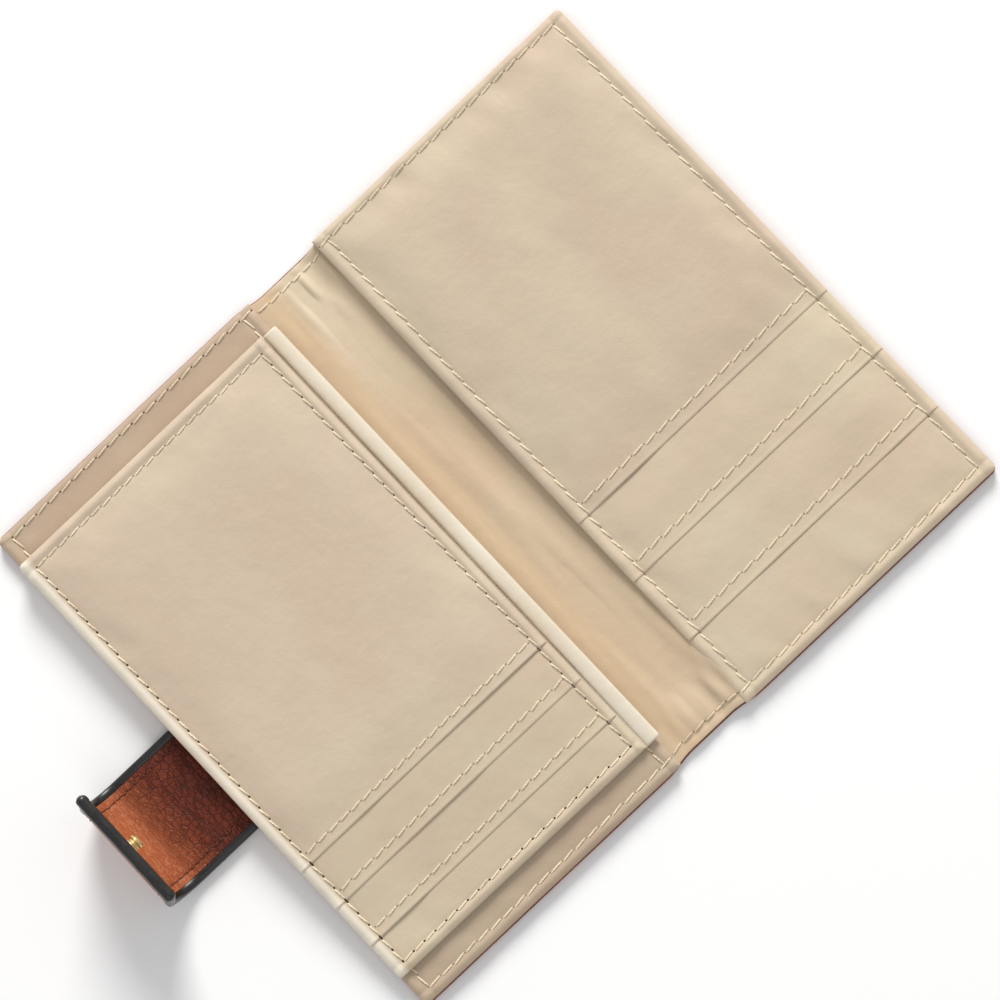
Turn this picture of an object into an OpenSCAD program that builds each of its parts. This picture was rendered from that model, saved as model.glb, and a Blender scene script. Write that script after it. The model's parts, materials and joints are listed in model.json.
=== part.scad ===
// Long bifold wallet, lying open with its lining up.
// +X points to the closure tab, +Y to the mouths of the card slots, +Z up.
// The origin is the middle of the spine, on the underside of the leather.
// Four groups move: the spine and the front cover fold over the back cover,
// the inner leaf lifts off the back cover, and the tab wraps round the edge.

/* [Covers] */
// Length of the wallet along the spine
wallet_len = 190; // [180:1:200]
// Distance between the two fold lines of the spine
spine_w = 28; // [26:0.5:30]
// Back cover, from its fold line to its outer edge
back_w = 104.1; // [102:0.1:108]
// Front cover, from its fold line to its outer edge
front_w = 100; // [99:0.1:101]
// Height of the fold axes above the underside
fold_z = 3.6; // [3.2:0.1:4]

/* [Layers] */
// Thickness of the cover leather
leather_t = 1.2; // [1:0.1:1.4]
// Thickness of the stiffening board
board_t = 1.2; // [1:0.1:1.4]
// Thickness of the lining cloth
lining_t = 0.4; // [0.3:0.05:0.5]
// Thickness of a pocket panel
panel_t = 0.35; // [0.3:0.05:0.4]
// Room inside a slip pocket
pocket_gap = 0.9; // [0.8:0.05:1]
// Room for one card in a card slot
card_gap = 0.85; // [0.8:0.05:0.9]
// Width of the turned edge of the leather
turn_w = 6; // [5:0.5:8]
// Width of the turned edge of a pocket panel
hem_w = 3.4; // [3:0.1:4]

/* [Card slots] */
// Depth of a card slot, mouth to stop seam
slot_depth = 56; // [55:1:60]
// Mouth of the first slot of the front cover
front_mouth = 22.2; // [20:0.1:24]
// Pitch of the slots of the front cover
front_pitch = 23.7; // [20:0.1:24]
// Mouth of the first slot of the leaf
leaf_mouth = 41; // [38:0.5:42]
// Pitch of the slots of the leaf
leaf_pitch = 14.9; // [12:0.1:15]

/* [Inner leaf] */
// Length of the leaf
leaf_len = 167.6; // [160:0.1:172]
// Room inside the leaf's own slip pocket
leaf_gap = 1.2; // [1:0.1:1.4]
// How far the leaf's back panel shows past its front
leaf_lip = 3.8; // [2:0.1:5]

/* [Closure tab] */
// Width of the tab with its binding
tab_w = 40; // [36:1:42]
// Offset of the tab along the outer edge
tab_y = 2; // [0:0.5:4]
// Thickness of the tab
tab_t = 2.8; // [2.6:0.1:3]
// Inner radius of the bend
bend_r = 9; // [8:0.5:10]
// How far the curled end leans past upright
tab_lean = 12; // [8:1:14]
// Straight length past the bend
tip_len = 20; // [20:0.5:22]
// Width of the binding round the tab's edge
binding_w = 2.2; // [1.8:0.1:2.6]

/* [Snap] */
// Diameter of the stud's head
stud_d = 4.6; // [4.2:0.1:4.8]
// Height of the stud above the tab
stud_h = 3.3; // [3:0.1:3.4]
// Distance of the stud from the end of the bend
stud_at = 11; // [10.5:0.5:12]

/* [Hidden] */
$fn = 96;

leather_c = [0.64, 0.30, 0.15];
cloth_c = [0.84, 0.77, 0.66];
board_c = [0.62, 0.60, 0.56];
binding_c = [0.20, 0.18, 0.18];
brass_c = [0.80, 0.64, 0.34];

// Clearances
body_gap = 0.3; // between solids of two bodies
fit_gap = 0.2; // between pieces laid inside one another
hair = 0.02; // keeps the strips of one panel plain separate bars
lining_inset = 0.8; // the leather shows past the lining by this much

// Covers
half_len = wallet_len / 2;
fold_x = spine_w / 2;
back_x = fold_x + back_w;
front_x = -fold_x - front_w;
cover_x0 = fold_x + body_gap / 2;
board_z = leather_t;
lining_z = board_z + board_t;
cover_top = lining_z + lining_t;
cloth_len = half_len - lining_inset;
closed_t = spine_w + 2 * fold_z;

// Pocket panels, by the height of their undersides
pocket_z = cover_top + pocket_gap;
layer = card_gap + panel_t;
hem_over = 1.4; // the front's pocket hem reaches past its fold line
front_hem_x = -fold_x + hem_over;
front_cloth_x = front_x + lining_inset;
back_cloth_x = back_x - lining_inset;

// Leaf
strip_t = 0.33;
strip_w = 6;
strip_z = pocket_z + panel_t + hair;
leaf_x = back_x - fit_gap;
leaf_z = strip_z + strip_t + body_gap;
leaf_half = leaf_len / 2;
leaf_hem_x = fold_x - 1.2;
leaf_front_x = leaf_hem_x + leaf_lip;
leaf_backing_z = leaf_z + panel_t + leaf_gap;
gusset_w = 8;
gusset_inset = 4;

// Tab, drawn in the XZ plane. Layers are depths below its inner face.
hinge_x = back_x + 0.5;
hinge_z = tab_t;
bend = 90 + tab_lean;
wrap = 180 - bend;
tip_gap = 0.4; // between the tip and the closed front cover
skin_t = 1;
core_t = tab_t - 2 * skin_t;
riser_len = (closed_t + tip_gap - hinge_z - bend_r * (1 + cos(wrap))) / sin(wrap);
bend_x = hinge_x + riser_len;
bend_z = hinge_z + bend_r;
split = bend / 2;
split_gap = 0.8;
lap = 0.3; // the bend laps into the straights by this angle, so they are one solid
root_w = tab_w - 6;
root_len = 20;
face_y0 = tab_y - tab_w / 2 + binding_w;
face_y1 = tab_y + tab_w / 2 - binding_w;
face_len = tip_len - binding_w;

// Snap
post_d = 3.8;
plate_d = 11;
plate_t = 0.7;
flange_d = 11;
flange_t = 0.5;
barrel_d = 7.4;
bore_d = stud_d + 0.6;
bore_depth = 3.1;
floor_t = 0.4;
washer_t = 0.4;
// The stud's place on the closed wallet, which the socket meets
stud_rest = [bend_x + bend_r * sin(bend) + stud_at * cos(bend),
             bend_z - bend_r * cos(bend) + stud_at * sin(bend)];
stud_closed_x = hinge_x + cos(wrap) * (stud_rest[0] - hinge_x)
    - sin(wrap) * (stud_rest[1] - hinge_z);
socket_x = -stud_closed_x;

// A plain slab between two corners
module slab(low, high) {
    translate(low)
        cube(high - low);
}

// A pocket panel over a gap, with turned edges below it on the ends asked for
module panel(x0, x1, y0, y1, z, gap, low_x = true, high_x = true, high_y = true, stop = 0) {
    floor_z = z - gap + hair;
    under_z = z - hair;
    slab([x0, y0, z], [x1, y1, z + panel_t]);
    slab([x0, y0, floor_z], [x1, y0 + hem_w, under_z]);
    top_y = high_y ? y1 - hem_w - hair : y1;
    if (high_y)
        slab([x0, y1 - hem_w, floor_z], [x1, y1, under_z]);
    if (low_x)
        slab([x0, y0 + hem_w + hair, floor_z], [x0 + hem_w, top_y, under_z]);
    if (high_x)
        slab([x1 - hem_w, y0 + hem_w + hair, floor_z], [x1, top_y, under_z]);
    if (stop > 0)
        slab([x0 + hem_w + hair, y1 - stop - 1, floor_z],
             [x1 - hem_w - hair, y1 - stop, under_z]);
}

// The room that the root of the tab takes in the seam of the back cover
module root_room(clear) {
    slab([back_x - root_len - clear, tab_y - root_w / 2 - clear, board_z],
         [back_x + 1, tab_y + root_w / 2 + clear, lining_z + 1]);
}

// The hole for the socket's barrel through the layers of the front cover
module barrel_room() {
    translate([socket_x, tab_y, -1])
        cylinder(d = barrel_d + fit_gap, h = pocket_z + 1);
}

// A cover's leather, its edges turned over the board on every side but the fold
module cover_leather(fold_end, outer_end) {
    low_x = min(fold_end, outer_end);
    high_x = max(fold_end, outer_end);
    turn_x = outer_end > fold_end ? outer_end - turn_w : outer_end;
    slab([low_x, -half_len, 0], [high_x, half_len, leather_t]);
    for (turn_y = [-half_len, half_len - turn_w])
        slab([low_x, turn_y, 0], [high_x, turn_y + turn_w, lining_z]);
    slab([turn_x, -half_len, 0], [turn_x + turn_w, half_len, lining_z]);
}

module back_leather() {
    color(leather_c)
        difference() {
            cover_leather(cover_x0, back_x);
            root_room(fit_gap);
        }
}

module spine_leather() {
    color(leather_c)
        slab([-fold_x + body_gap / 2, -half_len, 0], [fold_x - body_gap / 2, half_len, leather_t]);
}

module front_leather() {
    color(leather_c)
        difference() {
            cover_leather(-cover_x0, front_x);
            translate([socket_x, tab_y, -1])
                cylinder(d = flange_d + fit_gap, h = 1 + flange_t + hair);
            barrel_room();
        }
}

module back_board() {
    color(board_c)
        difference() {
            slab([cover_x0 + 1, -half_len + turn_w + fit_gap, board_z],
                 [back_x - turn_w - fit_gap, half_len - turn_w - fit_gap, lining_z]);
            root_room(fit_gap);
        }
}

module front_board() {
    color(board_c)
        difference() {
            slab([front_x + turn_w + fit_gap, -half_len + turn_w + fit_gap, board_z],
                 [-cover_x0 - 1, half_len - turn_w - fit_gap, lining_z]);
            barrel_room();
        }
}

module back_lining() {
    color(cloth_c)
        slab([cover_x0, -cloth_len, lining_z], [back_cloth_x, cloth_len, cover_top]);
}

module spine_lining() {
    color(cloth_c)
        slab([-fold_x + body_gap, -cloth_len, leather_t],
             [fold_x - body_gap, cloth_len, leather_t + lining_t]);
}

module front_lining() {
    color(cloth_c)
        difference() {
            slab([front_cloth_x, -cloth_len, lining_z], [-cover_x0, cloth_len, cover_top]);
            barrel_room();
        }
}

// Slip pocket of the back cover, open towards the spine
module back_pocket() {
    color(cloth_c)
        panel(fold_x, back_cloth_x, -cloth_len, cloth_len, pocket_z, pocket_gap, low_x = false);
}

// Cloth hinge that carries the leaf along the outer edge
module leaf_hinge_strip() {
    color(cloth_c)
        slab([leaf_x - strip_w, -leaf_half, strip_z], [back_cloth_x, leaf_half, strip_z + strip_t]);
}

// Folded cloth gusset under one end of the leaf, which limits its lift
module leaf_gusset(side) {
    inner = leaf_half - gusset_inset - gusset_w;
    outer = leaf_half - gusset_inset;
    color(cloth_c)
        slab([leaf_front_x + 10, min(side * inner, side * outer), strip_z],
             [leaf_x - strip_w - 1, max(side * inner, side * outer), strip_z + strip_t]);
}

module leaf_back() {
    color(cloth_c)
        slab([leaf_hem_x, -leaf_half, leaf_z], [leaf_x, leaf_half, leaf_z + panel_t]);
}

// Backing of the leaf's card slots; the slip pocket below it opens towards the spine
module leaf_backing() {
    color(cloth_c)
        panel(leaf_front_x, leaf_x, -leaf_half, leaf_half, leaf_backing_z, leaf_gap, low_x = false);
}

// Card slots are counted from the top layer down
module leaf_slot(count) {
    color(cloth_c)
        panel(leaf_front_x, leaf_x, -leaf_half, leaf_mouth + (count - 1) * leaf_pitch,
              leaf_backing_z + (4 - count) * layer, card_gap,
              high_y = false, stop = count > 1 ? slot_depth : 0);
}

// Backing of the front cover's card slots; the slip pocket below it opens towards the spine
module front_backing() {
    color(cloth_c)
        panel(front_cloth_x, front_hem_x, -cloth_len, cloth_len, pocket_z, pocket_gap, high_x = false);
}

module front_slot(count) {
    color(cloth_c)
        panel(front_cloth_x, front_hem_x, -cloth_len, front_mouth + (count - 1) * front_pitch,
              pocket_z + (4 - count) * layer, card_gap,
              high_y = false, stop = count > 1 ? slot_depth : 0);
}

// Skived root of the tab, sewn into the seam between leather and lining
module tab_root() {
    color(leather_c)
        slab([back_x - root_len, tab_y - root_w / 2, board_z],
             [back_x, tab_y + root_w / 2, lining_z]);
}

// A profile in the XZ plane, made solid from one y to another
module across(y0, y1) {
    translate([0, y1, 0])
        rotate([90, 0, 0])
            linear_extrude(y1 - y0)
                children();
}

// A stretch of the bend between two angles, in the XZ plane
module bend_arc(depth_0, depth_1, angle_0, angle_1) {
    reach = 3 * bend_r;
    translate([bend_x, bend_z])
        intersection() {
            difference() {
                circle(r = bend_r + depth_1);
                circle(r = bend_r + depth_0);
            }
            polygon([
                [0, 0],
                reach * [cos(angle_0 - 90), sin(angle_0 - 90)],
                reach * [cos((angle_0 + angle_1) / 2 - 90), sin((angle_0 + angle_1) / 2 - 90)],
                reach * [cos(angle_1 - 90), sin(angle_1 - 90)]
            ]);
        }
}

// Lower part of the tab: flat from the wallet's edge, then half of the bend
module riser_layer(depth_0, depth_1, y0, y1) {
    across(y0, y1) {
        translate([hinge_x + body_gap, hinge_z - depth_1])
            square([riser_len - body_gap, depth_1 - depth_0]);
        bend_arc(depth_0, depth_1, -lap, split - split_gap);
    }
}

// Upper part of the tab: the other half of the bend, then straight to the end
module tip_layer(depth_0, depth_1, y0, y1, from, to) {
    across(y0, y1) {
        if (from == 0)
            bend_arc(depth_0, depth_1, split + split_gap, bend + lap);
        translate([bend_x, bend_z])
            rotate(bend - 90)
                translate([bend_r + depth_0, from])
                    square([depth_1 - depth_0, to - from]);
    }
}

module riser_inner_leather() {
    color(leather_c)
        riser_layer(0, skin_t, face_y0, face_y1);
}

module riser_core() {
    color(board_c)
        riser_layer(skin_t, skin_t + core_t, face_y0, face_y1);
}

module riser_outer_leather() {
    color(leather_c)
        riser_layer(skin_t + core_t, tab_t, face_y0, face_y1);
}

module riser_binding() {
    color(binding_c) {
        riser_layer(0, tab_t, face_y0 - binding_w, face_y0);
        riser_layer(0, tab_t, face_y1, face_y1 + binding_w);
    }
}

// Moves the stud's axis to the tip's inner face, pointing out of it along +Z
module at_stud() {
    translate([bend_x, tab_y, bend_z])
        rotate([0, 90 - bend, 0])
            translate([bend_r, 0, stud_at])
                rotate([0, -90, 0])
                    children();
}

module tip_inner_leather() {
    color(leather_c)
        difference() {
            tip_layer(0, skin_t, face_y0, face_y1, 0, face_len);
            at_stud()
                translate([0, 0, -2 * skin_t])
                    cylinder(d = post_d + 0.1, h = 4 * skin_t);
        }
}

module tip_core() {
    color(board_c)
        difference() {
            tip_layer(skin_t, skin_t + core_t, face_y0, face_y1, 0, face_len);
            at_stud()
                translate([0, 0, -tab_t])
                    cylinder(d = plate_d + 0.2, h = tab_t);
        }
}

module tip_outer_leather() {
    color(leather_c)
        tip_layer(skin_t + core_t, tab_t, face_y0, face_y1, 0, face_len);
}

module tip_binding() {
    color(binding_c) {
        tip_layer(0, tab_t, face_y0 - binding_w, face_y0, 0, tip_len);
        tip_layer(0, tab_t, face_y1, face_y1 + binding_w, 0, tip_len);
        tip_layer(0, tab_t, face_y0, face_y1, face_len, tip_len);
    }
}

// Stud: a post through the leather with a wider grooved head
module snap_stud() {
    head = stud_d / 2;
    post = post_d / 2;
    color(brass_c)
        at_stud()
            rotate_extrude()
                polygon([
                    [0, -skin_t], [post, -skin_t], [post, 0], [head, 0], [head, 0.8],
                    [post, 1.1], [post, 1.7], [head, 2.1], [head, stud_h - 0.5],
                    [head - 0.5, stud_h], [0, stud_h]
                ]);
}

// Rivet plate that holds the stud behind the inner leather
module snap_stud_plate() {
    color(brass_c)
        at_stud()
            translate([0, 0, -skin_t - plate_t])
                cylinder(d = plate_d, h = plate_t);
}

// Socket: a cup let flush into the front cover, its mouth on the outside
module snap_socket() {
    color(brass_c)
        translate([socket_x, tab_y, 0])
            difference() {
                union() {
                    cylinder(d = flange_d, h = flange_t);
                    cylinder(d = barrel_d, h = bore_depth + floor_t);
                }
                translate([0, 0, -1])
                    cylinder(d = bore_d, h = bore_depth + 1);
            }
}

// Washer behind the lining, spread over the socket's barrel
module snap_socket_washer() {
    color(brass_c)
        translate([socket_x, tab_y, cover_top + hair])
            difference() {
                cylinder(d = plate_d, h = washer_t);
                translate([0, 0, -1])
                    cylinder(d = barrel_d + 0.1, h = washer_t + 2);
            }
}

back_leather();
spine_leather();
front_leather();
back_board();
front_board();
back_lining();
spine_lining();
front_lining();
back_pocket();
leaf_hinge_strip();
leaf_gusset(-1);  // leaf_gusset_lower
leaf_gusset(1);  // leaf_gusset_upper
leaf_back();
leaf_backing();
leaf_slot(1);  // leaf_slot_1
leaf_slot(2);  // leaf_slot_2
leaf_slot(3);  // leaf_slot_3
front_backing();
front_slot(1);  // front_slot_1
front_slot(2);  // front_slot_2
front_slot(3);  // front_slot_3
tab_root();
riser_inner_leather();
riser_core();
riser_outer_leather();
riser_binding();
tip_inner_leather();
tip_core();
tip_outer_leather();
tip_binding();
snap_stud();
snap_stud_plate();
snap_socket();
snap_socket_washer();
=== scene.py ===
"""The looks of a long wallet: its cloth, leather, stitching and brass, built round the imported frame.

Sizes are in millimetres here, in the frame's axes, and build() turns them into metres.
"""

import json
import math

import bpy
import numpy as np
from mathutils import Matrix, Vector


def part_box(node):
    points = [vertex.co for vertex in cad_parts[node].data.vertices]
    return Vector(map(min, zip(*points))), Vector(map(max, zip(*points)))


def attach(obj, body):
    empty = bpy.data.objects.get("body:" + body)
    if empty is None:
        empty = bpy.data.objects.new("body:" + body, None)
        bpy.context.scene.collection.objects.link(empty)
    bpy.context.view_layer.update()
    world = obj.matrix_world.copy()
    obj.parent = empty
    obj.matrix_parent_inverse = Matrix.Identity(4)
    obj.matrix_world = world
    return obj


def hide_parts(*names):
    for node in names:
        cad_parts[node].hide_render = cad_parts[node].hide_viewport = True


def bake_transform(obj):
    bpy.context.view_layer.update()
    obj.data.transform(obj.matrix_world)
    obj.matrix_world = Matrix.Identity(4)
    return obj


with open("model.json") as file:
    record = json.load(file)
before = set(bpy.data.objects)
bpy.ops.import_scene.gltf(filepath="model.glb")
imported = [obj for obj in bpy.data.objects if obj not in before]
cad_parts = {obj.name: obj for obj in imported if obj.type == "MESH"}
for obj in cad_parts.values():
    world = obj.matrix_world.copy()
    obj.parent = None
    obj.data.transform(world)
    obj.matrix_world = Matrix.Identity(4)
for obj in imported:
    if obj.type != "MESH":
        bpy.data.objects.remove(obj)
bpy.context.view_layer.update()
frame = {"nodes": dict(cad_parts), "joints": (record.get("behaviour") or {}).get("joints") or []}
MM = 0.001


def span(node, axis):
    """Lowest and highest place of a CAD node along one axis, in millimetres."""
    low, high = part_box(node)
    return low[axis] / MM, high[axis] / MM


def joint_place(name):
    """Where a joint's axis is, in millimetres."""
    joint = next(j for j in frame["joints"] if j["name"] == name)
    return [c / MM for c in joint["pos_m"]]


# ---- sizes

HALF_LEN = span("back_leather", 1)[1]
BACK_X = span("back_leather", 0)[1]
FRONT_X = span("front_leather", 0)[0]
FOLD_X = joint_place("back_fold")[0]
LEATHER_T = span("spine_leather", 2)[1]
RIM_Z = span("back_leather", 2)[1]
LINING_TOP = span("back_lining", 2)[1]
SPINE_TOP = span("spine_lining", 2)[1]
CLOTH_Y = span("back_lining", 1)[1]
BACK_CLOTH_X = span("back_lining", 0)[1]
FRONT_CLOTH_X = span("front_lining", 0)[0]
LEAF_BACK_TOP = span("leaf_back", 2)[1]

TURN = 6.0  # width of the leather's turned edge
HEM = 4.0  # width of a cloth hem
PLY = 0.42  # how thick a cloth layer looks
SPINE_SOFT = 17.0  # the soft spine ends about this far from its middle
FLAT_FROM = 20.0  # and the covers' own grid and stitches start here
DRAWN_IN = 1.3  # how far the soft spine pulls in at its two ends
TOPSTITCH = 3.6  # from the leather's edge to its seam
GROW_X, GROW_Y = 0.65, 0.35  # how far the covers' pockets puff out past their CAD solids
PUFF_Y = CLOTH_Y + GROW_Y

SOCKET = (sum(span("snap_socket", 0)) / 2, sum(span("snap_socket", 1)) / 2, 3.85)  # with its hole's radius

TAB_LOW, TAB_HIGH = span("riser_binding", 1)
TAB_X, _, TAB_T = joint_place("tab_wrap")
BINDING = 3.0  # width of the tab's binding
BEND_R = 9.0  # inner radius of the tab's bend
BEND_X = 141.02  # where the tab starts to bend up
BEND_Z = TAB_T + BEND_R
BEND = math.radians(102)
TAB_MID_R = BEND_R + TAB_T / 2
ARC_END = BEND_X + TAB_MID_R * BEND  # lengths past BEND_X run along the bent tab
TAB_END = ARC_END + 20.0
TAB_SPLIT = 130.0  # where the tab's pieces are cut in two


# ---- shapes of curves and noise

def ramp(x, a, b):
    """0 before a, 1 after b, and smooth between."""
    t = np.clip((x - a) / (b - a), 0, 1)
    return t * t * (3 - 2 * t)


def bell(d, reach):
    """1 at a distance of 0, and nearly 0 at twice the reach."""
    return np.exp(-((d / reach) ** 2))


def rounded(d, radius):
    """A quarter circle: 0 at an edge, 1 from the radius inwards."""
    t = np.clip(d / radius, 0, 1)
    return np.sqrt(np.maximum(0, 1 - (1 - t) ** 2))


def noise_field(seed, size, turn=0.0, stretch=1.0):
    """A smooth random field from -1 to 1, its bumps size across and stretched along a direction."""
    lattice = np.random.default_rng(seed).uniform(-1, 1, (97, 97))
    c, s = math.cos(math.radians(turn)), math.sin(math.radians(turn))

    def field(x, y):
        u = (x * c + y * s) / (size * stretch) + 40
        v = (y * c - x * s) / size + 40
        i, j = np.floor(u).astype(int), np.floor(v).astype(int)
        fu, fv = u - i, v - j
        fu, fv = fu * fu * (3 - 2 * fu), fv * fv * (3 - 2 * fv)
        i, j, i1, j1 = i % 97, j % 97, (i + 1) % 97, (j + 1) % 97
        low = lattice[i, j] * (1 - fu) + lattice[i1, j] * fu
        high = lattice[i, j1] * (1 - fu) + lattice[i1, j1] * fu
        return low * (1 - fv) + high * fv

    return field


# ---- materials

def new_material(name, roughness, coordinates="flat", **constants):
    """A material with a Principled shader, and its texture coordinates.

    "flat" coordinates are stored in each mesh by build(), so a pattern stays on its piece as it bends;
    "object" ones are for the CAD nodes."""
    material = bpy.data.materials.new(name)
    material.use_nodes = True
    tree = material.node_tree
    shader = tree.nodes["Principled BSDF"]
    shader.inputs["Roughness"].default_value = roughness
    for socket, value in constants.items():
        shader.inputs[socket.replace("_", " ")].default_value = value
    if coordinates == "object":
        coords = tree.nodes.new("ShaderNodeTexCoord").outputs["Object"]
    else:
        stored = tree.nodes.new("ShaderNodeAttribute")
        stored.attribute_name = "flat"
        coords = stored.outputs["Vector"]
    return material, shader, coords


def srgb(r, g, b):
    """A linear colour from 8-bit sRGB."""
    return [((c / 255 + 0.055) / 1.055) ** 2.4 if c > 10 else c / 3294 for c in (r, g, b)] + [1.0]


def scaled(colour, share):
    """A colour made darker or lighter."""
    return [min(1, c * share) for c in colour[:3]] + [1.0]


def add_node(kind, settings=None, **inputs):
    """A node with its settings, in the tree that its inputs come from. Inputs are values or sockets."""
    tree = next(v for v in inputs.values() if isinstance(v, bpy.types.NodeSocket)).id_data
    node = tree.nodes.new("ShaderNode" + kind)
    for key, value in (settings or {}).items():
        setattr(node, key, value)
    for key, value in inputs.items():
        socket = node.inputs[int(key[1:])] if key[0] == "_" else node.inputs[key.replace("_", " ")]
        if isinstance(value, bpy.types.NodeSocket):
            tree.links.new(value, socket)
        else:
            socket.default_value = value
    return node


def noise(coords, scale, detail=3.0, rough=0.55):
    """The grey value of a noise texture."""
    return add_node("TexNoise", Vector=coords, Scale=scale, Detail=detail, Roughness=rough).outputs["Fac"]


def remap(value, low, high, to_low=0.0, to_high=1.0):
    """The range low to high stretched to another one, and clamped."""
    made = add_node("MapRange", Value=value, From_Min=low, From_Max=high, To_Min=to_low, To_Max=to_high)
    return made.outputs["Result"]


def mix(factor, a, b):
    """A colour between a and b."""
    return add_node("Mix", {"data_type": "RGBA"}, _0=factor, _6=a, _7=b).outputs[2]


def math_node(operation, a, b=0.0):
    return add_node("Math", {"operation": operation}, _0=a, _1=b).outputs[0]


def times(a, b):
    return math_node("MULTIPLY", a, b)


def distance(value, middle):
    """How far a value is from a middle one."""
    return math_node("ABSOLUTE", math_node("SUBTRACT", value, middle))


def stretched(coords, scale, turn=0.0):
    """Coordinates scaled along each axis and turned about z, in degrees."""
    return add_node("Mapping", Vector=coords, Scale=scale, Rotation=(0, 0, math.radians(turn))).outputs[0]


def link(value, node, name):
    """Feeds a socket into an input of a node."""
    node.id_data.links.new(value, node.inputs[name])


def bumps(shader, height, strength, depth, before=None):
    """Relief on a shader, on top of the relief before it. The depth is in metres."""
    made = add_node("Bump", Height=height, Strength=strength, Distance=depth)
    if before is not None:
        link(before, made, "Normal")
    link(made.outputs[0], shader, "Normal")
    return made.outputs[0]


def cloth_material(name, colour, warm, tints=()):
    """Fine twill cloth with a soft sheen: ribs with painted shade in their valleys, slubs, and a slow
    drift of colour.

    A tint is a colour with its bands. A band is an axis, its middle, and how far from it the tint
    starts to fade and is gone, in millimetres. The tint lies where all its bands cross."""
    material, shader, coords = new_material(
        name, 0.5, Sheen_Weight=0.12, Sheen_Roughness=0.4, Specular_IOR_Level=0.35)
    ribs, picks = [
        add_node("TexWave", {"bands_direction": "X"}, Scale=scale, Detail=1.0,
                 Vector=stretched(coords, (1, 1, 1), turn), Distortion=distortion).outputs["Fac"]
        for turn, scale, distortion in ((32, 520.0, 0.6), (90, 700.0, 0.5))]
    weave = times(ribs, picks)
    drift = remap(noise(coords, 26.0), 0.35, 0.65)
    slubs = remap(noise(stretched(coords, (150, 1400, 300)), 1.0, 2.0), 0.35, 0.75)
    toned = mix(drift, colour, warm)
    # the weave's valleys are darkened: painted shade
    valley_shaded = mix(remap(weave, 0, 1, 0.10, 0.0), toned, scaled(warm, 0.72))
    threads = mix(remap(slubs, 0, 1, 0.0, 0.12), valley_shaded, scaled(colour, 1.12))
    for tint, bands in tints:
        share = 0.85
        for axis, middle, near, far in bands:
            along = add_node("SeparateXYZ", Vector=coords).outputs[axis]
            away = distance(along, middle * MM)
            share = times(remap(away, near * MM, far * MM, 1.0, 0.0), share)
        threads = mix(share, threads, tint)
    link(threads, shader, "Base Color")
    folds = bumps(shader, noise(coords, 190.0, 4.0, 0.5), 0.22, 0.0011)
    bumps(shader, weave, 0.35, 0.00009, folds)
    return material


def leather_material(name, creased, coordinates="flat"):
    """Cognac leather with a crackled grain.

    creased adds cross creases, and the change from a strap darkened by painted shade to its worn, orange
    bend, partly painted light."""
    material, shader, coords = new_material(
        name, 0.45, coordinates, Specular_IOR_Level=0.3, Coat_Weight=0.05, Coat_Roughness=0.4)
    wobble = add_node("TexNoise", Vector=coords, Scale=160.0, Detail=2.0, Roughness=0.55).outputs["Color"]
    moved = add_node("VectorMath", {"operation": "MULTIPLY_ADD"}, _0=wobble, _1=[0.0018] * 3,
                     _2=coords).outputs[0]
    coarse, fine = [
        add_node("TexVoronoi", {"feature": "DISTANCE_TO_EDGE"}, Vector=moved,
                 Scale=scale).outputs["Distance"] for scale in (430.0, 1150.0)]
    grain = times(remap(coarse, 0.0, 0.08, 0.15, 1.0), remap(fine, 0.0, 0.1, 0.7, 1.0))
    drift = remap(noise(coords, 70.0, 4.0), 0.3, 0.7)
    face = mix(drift, srgb(150, 68, 34), srgb(112, 46, 26))
    crack = remap(grain, 0.0, 1.0, 0.45, 0.0)
    if creased:
        lines = noise(stretched(coords, (560, 46, 560)), 1.0, 3.0, 0.6)
        grain = times(grain, remap(distance(lines, 0.5), 0.0, 0.035, 0.2, 1.0))
        along = add_node("SeparateXYZ", Vector=coords).outputs["X"]
        ragged = math_node("ADD", along, remap(drift, 0, 1, -0.0025, 0.0025))
        # dark near the wallet, where the wallet's shadow lies on the strap: painted shade
        strap = mix(drift, srgb(126, 53, 28), srgb(98, 40, 22))
        # orange in the bend, which curls up into the light: painted light, with worn leather
        worn_and_lit_bend = mix(drift, srgb(182, 98, 54), srgb(156, 78, 44))
        bend = remap(ragged, (BEND_X - 9) * MM, (BEND_X + 5) * MM)
        face = mix(bend, strap, worn_and_lit_bend)
        crack = times(remap(grain, 0.0, 1.0, 0.8, 0.0), math_node("SUBTRACT", 1.0, times(bend, 0.9)))
        scuffs = noise(stretched(coords, (900, 210, 900)), 1.0, 4.0, 0.65)
        scuff = remap(distance(scuffs, 0.5), 0.0, 0.03, 0.75, 0.0)
        face = mix(times(scuff, bend), face, srgb(216, 146, 104))
    link(mix(crack, face, srgb(50, 19, 12)), shader, "Base Color")
    link(remap(grain, 0, 1, 0.66, 0.42), shader, "Roughness")
    relief = grain
    if creased:
        relief = math_node("MAXIMUM", grain, times(bend, 0.75))
    pores = bumps(shader, noise(coords, 2600.0), 0.12, 0.00012)
    bumps(shader, relief, 0.85 if creased else 0.55, 0.00032, pores)
    return material


def mottled_material(name, roughness, colours, spots, shine, grain, coordinates="flat", **constants):
    """A smooth finish with faint spots and a fine grain.

    spots are their scale and the range of the noise they show; colours and shine go from one to the
    other over them. grain is its scale, strength and depth in metres."""
    material, shader, coords = new_material(name, roughness, coordinates, **constants)
    spot = remap(noise(coords, spots[0], 4.0), spots[1], spots[2])
    link(mix(spot, *colours), shader, "Base Color")
    link(remap(spot, 0, 1, *shine), shader, "Roughness")
    bumps(shader, noise(coords, grain[0]), *grain[1:])
    return material


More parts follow.
